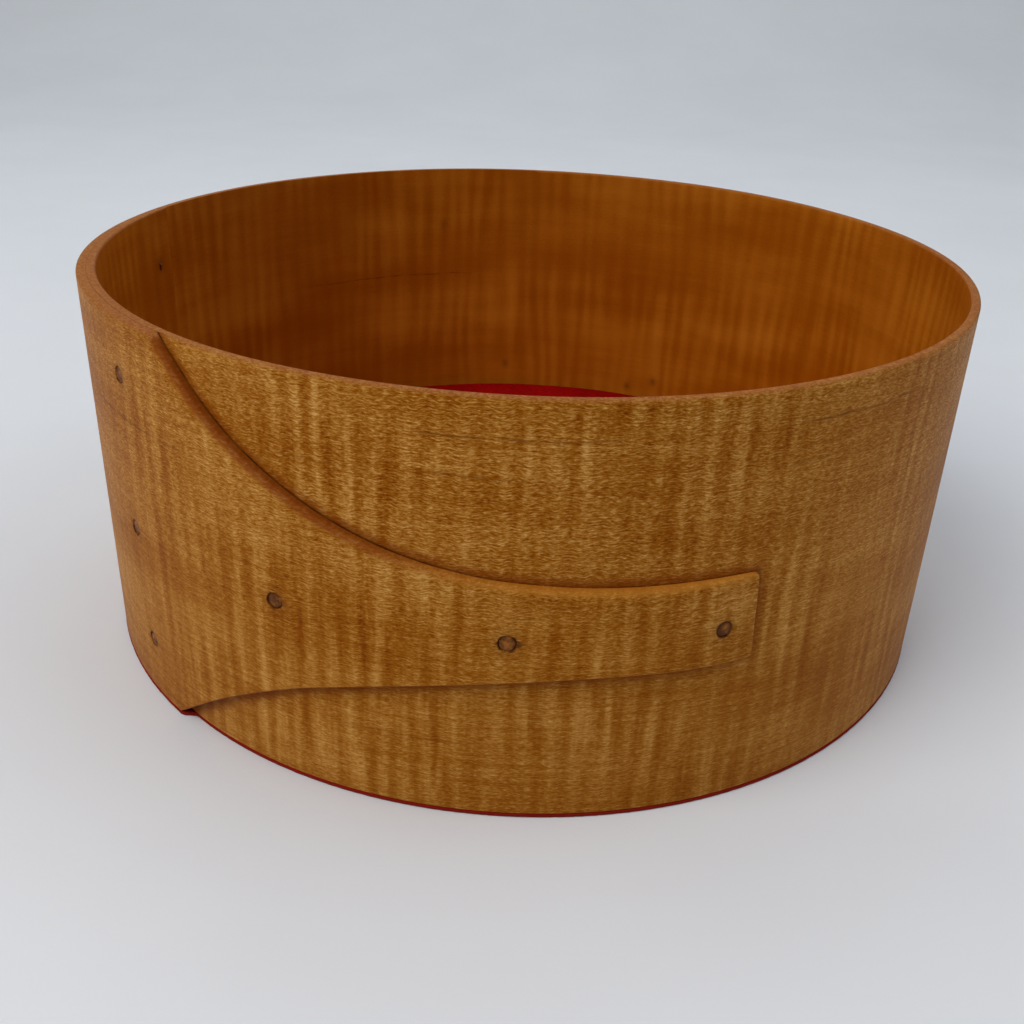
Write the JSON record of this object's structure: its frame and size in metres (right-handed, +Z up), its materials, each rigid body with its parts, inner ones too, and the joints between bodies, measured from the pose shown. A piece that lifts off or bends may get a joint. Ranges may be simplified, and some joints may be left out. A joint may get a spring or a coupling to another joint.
{
  "type": "bentwood box",
  "caption": "Round open bentwood box of lapped maple with a swallowtail finger, copper tacks and red felt inside and under its foot, for holding a bottle or small things.",
  "frame": {"origin": "on the axis of the round inside wall, on the surface the box stands on, at the underside of the foot felt", "axes": "+Z up along the wall's axis; -Y to the front, where the swallowtail finger lies; +X to the right of someone facing the front, which is the way the finger points"},
  "size_m": [0.1792, 0.1797, 0.0762],
  "materials": {
    "curly_maple": "satin",
    "base_wood": "matte",
    "red_felt": "matte",
    "aged_copper": "satin"
  },
  "bodies": {
    "root": {"band": "curly_maple", "base_disc": "base_wood", "floor_felt": "red_felt", "foot_felt": "red_felt", "finger_tack_tip": "aged_copper", "finger_tack_middle": "aged_copper", "finger_tack_root": "aged_copper", "lap_tack_top": "aged_copper", "lap_tack_middle": "aged_copper", "lap_tack_bottom": "aged_copper", "end_tack_top": "aged_copper", "end_tack_middle": "aged_copper", "end_tack_bottom": "aged_copper"}
  },
  "joints": []
}
